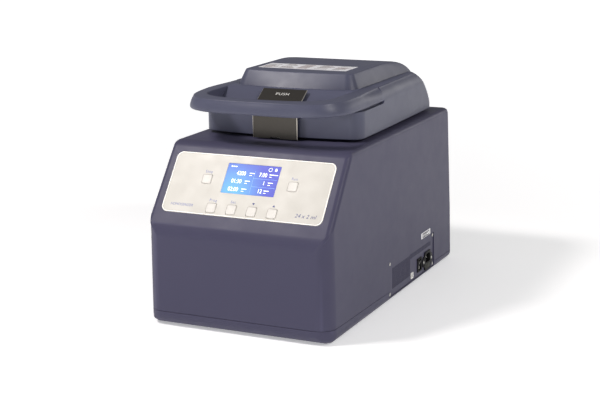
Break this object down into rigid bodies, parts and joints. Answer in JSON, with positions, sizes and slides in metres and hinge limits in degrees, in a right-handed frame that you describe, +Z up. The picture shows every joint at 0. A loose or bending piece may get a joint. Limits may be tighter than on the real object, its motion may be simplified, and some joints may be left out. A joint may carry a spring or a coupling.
{
  "type": "bead mill homogenizer",
  "caption": "Benchtop refrigerated tube homogenizer: sloped control panel, hinged lid with loop handle and push latch over a cold chamber with a nutating tube holder.",
  "frame": {"origin": "middle of the footprint on the bench, under the centre of the object's box", "axes": "+Z up, -Y towards the user and the control panel, +X towards the side with the mains inlet"},
  "size_m": [0.3317, 0.574, 0.3953],
  "materials": {
    "housing_plastic": "satin fine-grained moulded plastic, blue-violet grey",
    "lid_plastic": "satin fine-grained moulded plastic, slate blue",
    "panel_cream": "smooth satin overlay, warm cream",
    "key_grey": "fine matt, pale grey",
    "window_clear": "clear anti-glare",
    "screen_blue": "lit blue display",
    "circuit_green": "solder resist",
    "latch_steel": "brushed dark stainless",
    "bright_steel": "plated",
    "bowl_steel": "brushed stainless",
    "machined_aluminium": "anodised",
    "frame_steel": "zinc-plated sheet",
    "black_plastic": "black moulding",
    "black_rubber": "matt",
    "liner_white": "smooth moulding",
    "foam_beige": "closed-cell foam",
    "copper_tube": "drawn copper",
    "machine_black": "black enamel",
    "label_white": "printed film",
    "fuse_glass": "glass tube fuse"
  },
  "bodies": {
    "housing": {"body_shell": "housing_plastic", "base_pan": "housing_plastic", "rubber_feet": "black_rubber", "panel_fascia": "panel_cream", "display_window": "window_clear", "display_module": "screen_blue", "control_board": "circuit_green", "service_plate": "housing_plastic", "service_screws": "bright_steel", "power_inlet": "black_plastic", "inlet_screws": "bright_steel", "rocker_frame": "black_plastic", "usb_port": "bright_steel", "rating_label": "label_white", "chassis_frame": "frame_steel", "isolator_mounts": "black_rubber", "drive_plate": "machined_aluminium", "motor_body": "machine_black", "bearing_housing": "machined_aluminium", "shaft_bearings": "bright_steel", "chamber_bowl": "bowl_steel", "chamber_boot": "black_rubber", "bowl_insulation": "foam_beige", "evaporator_coil": "copper_tube", "compressor": "machine_black", "condenser": "machined_aluminium", "fan_frame": "black_plastic", "power_supply": "frame_steel", "drive_board": "circuit_green", "latch_striker": "bright_steel", "hinge_brackets": "bright_steel", "hinge_pins": "bright_steel"},
    "lid": {"lid_shell": "lid_plastic", "lid_cover": "lid_plastic", "lid_label": "label_white", "handle_bail": "lid_plastic", "handle_screws": "bright_steel", "latch_pin": "bright_steel", "latch_spring": "bright_steel", "lid_liner": "liner_white", "lid_gasket": "black_rubber", "hinge_knuckles": "bright_steel"},
    "latch": {"latch_strap": "latch_steel"},
    "key_stop": {"key_stop": "key_grey"},
    "key_run": {"key_run": "key_grey"},
    "key_program": {"key_program": "key_grey"},
    "key_set": {"key_set": "key_grey"},
    "key_down": {"key_down": "key_grey"},
    "key_up": {"key_up": "key_grey"},
    "power_rocker": {"power_rocker": "black_plastic"},
    "fuse_drawer": {"fuse_drawer": "black_plastic", "line_fuse": "fuse_glass"},
    "drive_shaft": {"drive_shaft": "bright_steel", "counterweight": "frame_steel"},
    "tube_holder": {"hub_bearing": "bright_steel", "holder_hub": "machined_aluminium", "tube_disc": "machined_aluminium", "clamp_plate": "machined_aluminium"},
    "clamp_knob": {"clamp_knob": "black_plastic"},
    "fan_rotor": {"fan_rotor": "black_plastic"}
  },
  "joints": [
    {"name": "lid_hinge", "type": "hinge", "parent": "housing", "child": "lid", "pos_m": [0, 0.262, 0.3], "axis": [-1, 0, 0], "range_deg": [0, 75]},
    {"name": "latch_push", "type": "hinge", "parent": "lid", "child": "latch", "pos_m": [0, -0.119, 0.338], "axis": [-1, 0, 0], "range_deg": [0, 6], "stiffness_Nm_per_rad": 2, "springref_deg": -8.59},
    {"name": "key_stop_press", "type": "slide", "parent": "housing", "child": "key_stop", "axis": [0, 0.7903, -0.6127], "range_m": [0, 0.0008], "stiffness_N_per_m": 1200, "springref_m": -0.0004},
    {"name": "key_run_press", "type": "slide", "parent": "housing", "child": "key_run", "axis": [0, 0.7903, -0.6127], "range_m": [0, 0.0008], "stiffness_N_per_m": 1200, "springref_m": -0.0004},
    {"name": "key_program_press", "type": "slide", "parent": "housing", "child": "key_program", "axis": [0, 0.7903, -0.6127], "range_m": [0, 0.0008], "stiffness_N_per_m": 1200, "springref_m": -0.0004},
    {"name": "key_set_press", "type": "slide", "parent": "housing", "child": "key_set", "axis": [0, 0.7903, -0.6127], "range_m": [0, 0.0008], "stiffness_N_per_m": 1200, "springref_m": -0.0004},
    {"name": "key_down_press", "type": "slide", "parent": "housing", "child": "key_down", "axis": [0, 0.7903, -0.6127], "range_m": [0, 0.0008], "stiffness_N_per_m": 1200, "springref_m": -0.0004},
    {"name": "key_up_press", "type": "slide", "parent": "housing", "child": "key_up", "axis": [0, 0.7903, -0.6127], "range_m": [0, 0.0008], "stiffness_N_per_m": 1200, "springref_m": -0.0004},
    {"name": "rocker_tilt", "type": "hinge", "parent": "housing", "child": "power_rocker", "pos_m": [0.1557, 0.114, 0.03], "axis": [0, 1, 0], "range_deg": [-16, 0]},
    {"name": "fuse_drawer_slide", "type": "slide", "parent": "housing", "child": "fuse_drawer", "axis": [1, 0, 0], "range_m": [0, 0.018]},
    {"name": "drive_spin", "type": "hinge", "parent": "housing", "child": "drive_shaft", "pos_m": [0, 0.065, 0.2], "axis": [0, 0, 1], "continuous": true},
    {"name": "holder_swing", "type": "hinge", "parent": "drive_shaft", "child": "tube_holder", "pos_m": [0, 0.065, 0.268], "axis": [0.0698, 0, 0.9976], "continuous": true},
    {"name": "knob_turn", "type": "hinge", "parent": "tube_holder", "child": "clamp_knob", "pos_m": [0, 0.065, 0.268], "axis": [0.0698, 0, 0.9976], "range_deg": [0, 90]},
    {"name": "fan_spin", "type": "hinge", "parent": "housing", "child": "fan_rotor", "pos_m": [0.07, 0.219, 0.085], "axis": [0, 1, 0], "continuous": true}
  ],
  "couplings": [
    {"joint": "holder_swing", "follows": "drive_spin", "ratio": -1}
  ]
}
